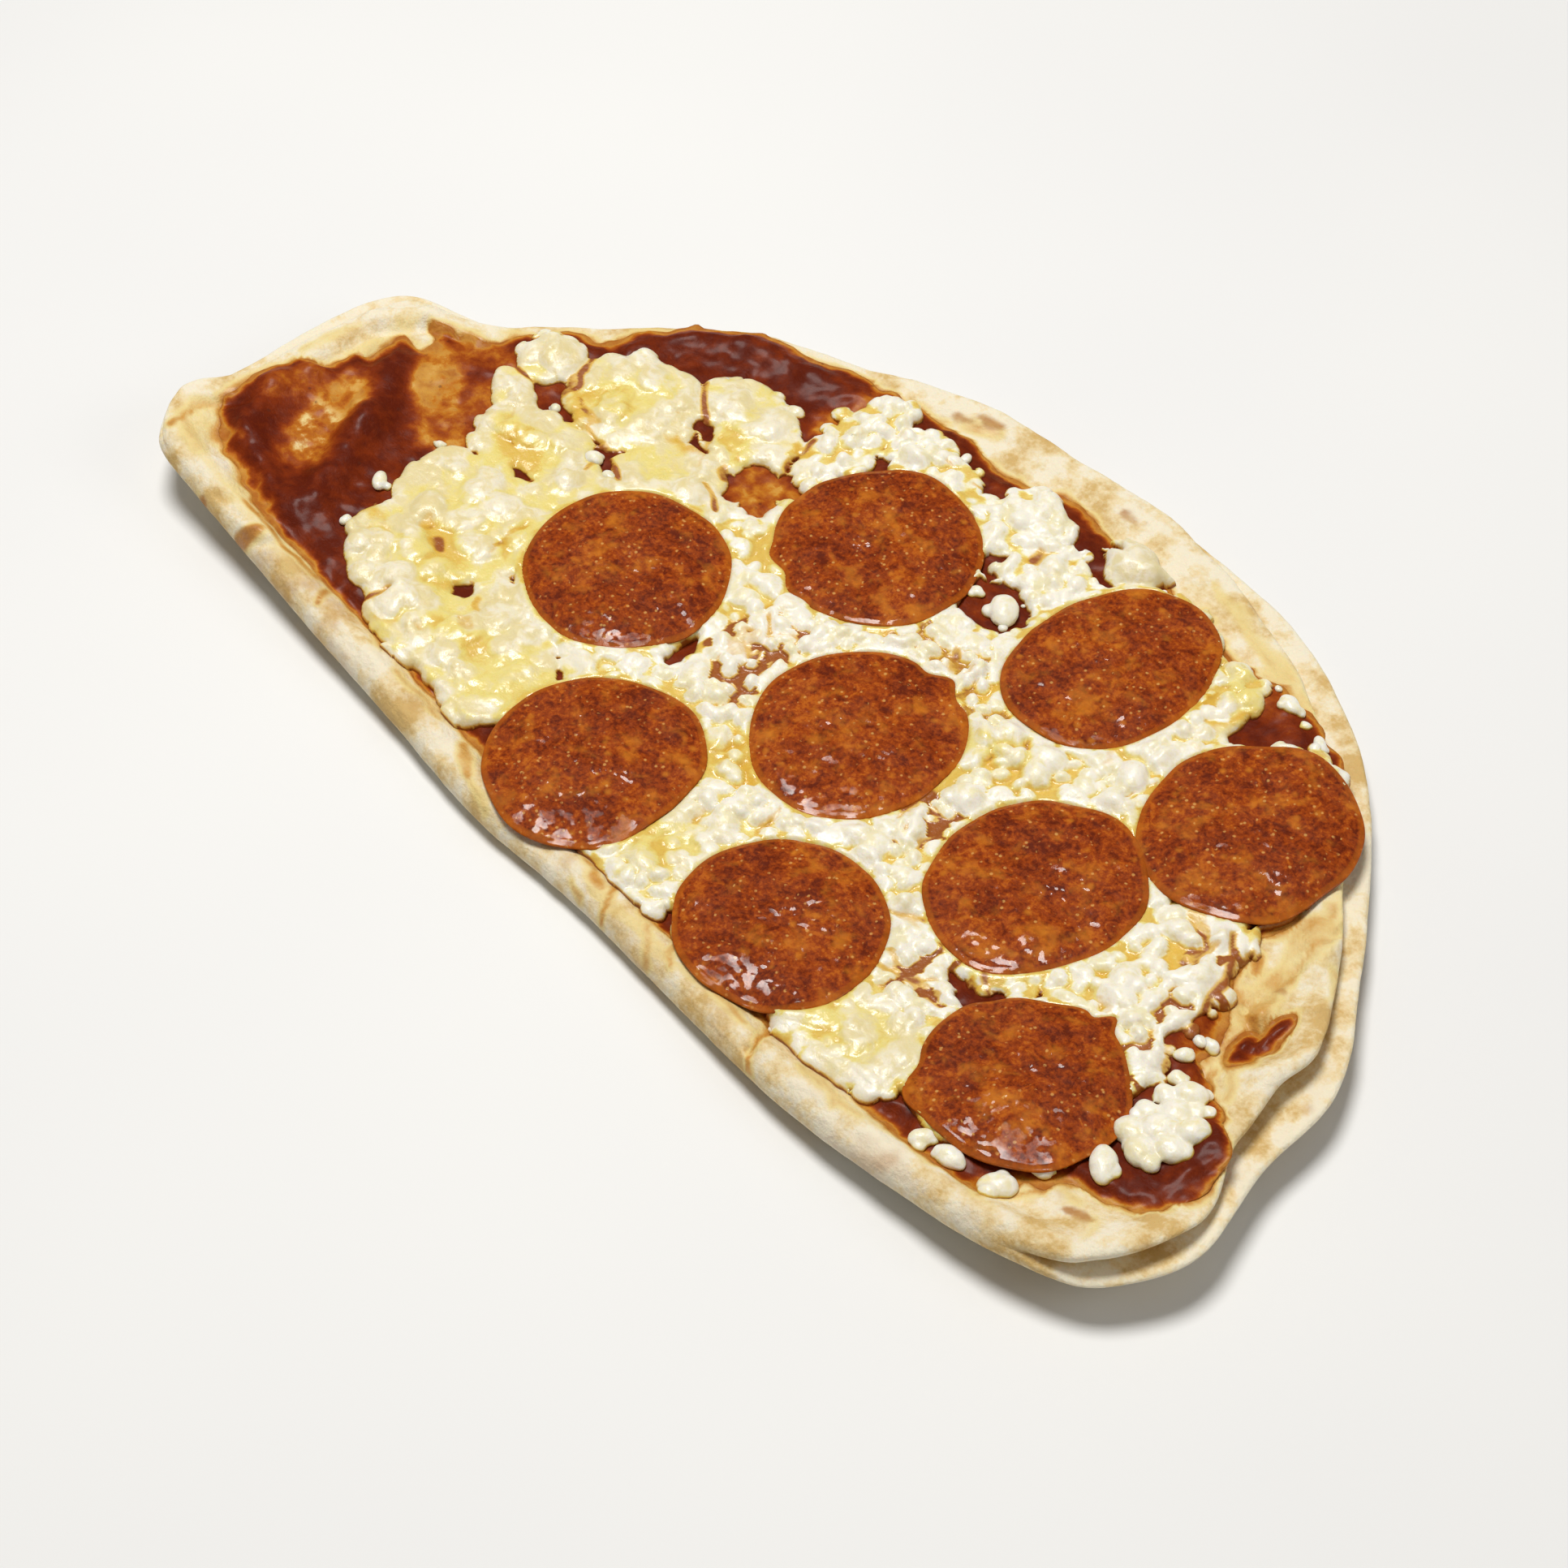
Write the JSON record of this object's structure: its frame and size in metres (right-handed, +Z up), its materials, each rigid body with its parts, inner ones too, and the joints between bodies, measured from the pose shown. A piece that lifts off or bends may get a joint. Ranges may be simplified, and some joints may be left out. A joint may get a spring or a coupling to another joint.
{
  "type": "folded crepe pizza",
  "caption": "Round crepe folded into a half moon, with tomato sauce, curds of melted cheese and thin slices of cured sausage on top, bent to a shallow dish.",
  "frame": {"origin": "middle of the bounding box, at its lowest level, where the underside rests", "axes": "+X along the fold, +Y from the fold to the round edge, +Z up"},
  "size_m": [0.2782, 0.1486, 0.0169],
  "materials": {
    "dough": "soft baked dough, cream with golden spots, dull",
    "tomato": "cooked-down tomato sauce, dark red-brown, wet",
    "melted_cheese": "melted curds, cream to pale yellow, moist",
    "cured_meat": "baked cured sausage, deep orange-brown with pale specks, oily"
  },
  "bodies": {
    "root": {"crepe": "dough", "sauce": "tomato", "cheese": "melted_cheese", "pepperoni_1": "cured_meat", "pepperoni_2": "cured_meat", "pepperoni_3": "cured_meat", "pepperoni_4": "cured_meat", "pepperoni_5": "cured_meat", "pepperoni_6": "cured_meat", "pepperoni_7": "cured_meat", "pepperoni_8": "cured_meat", "pepperoni_9": "cured_meat"}
  },
  "joints": []
}
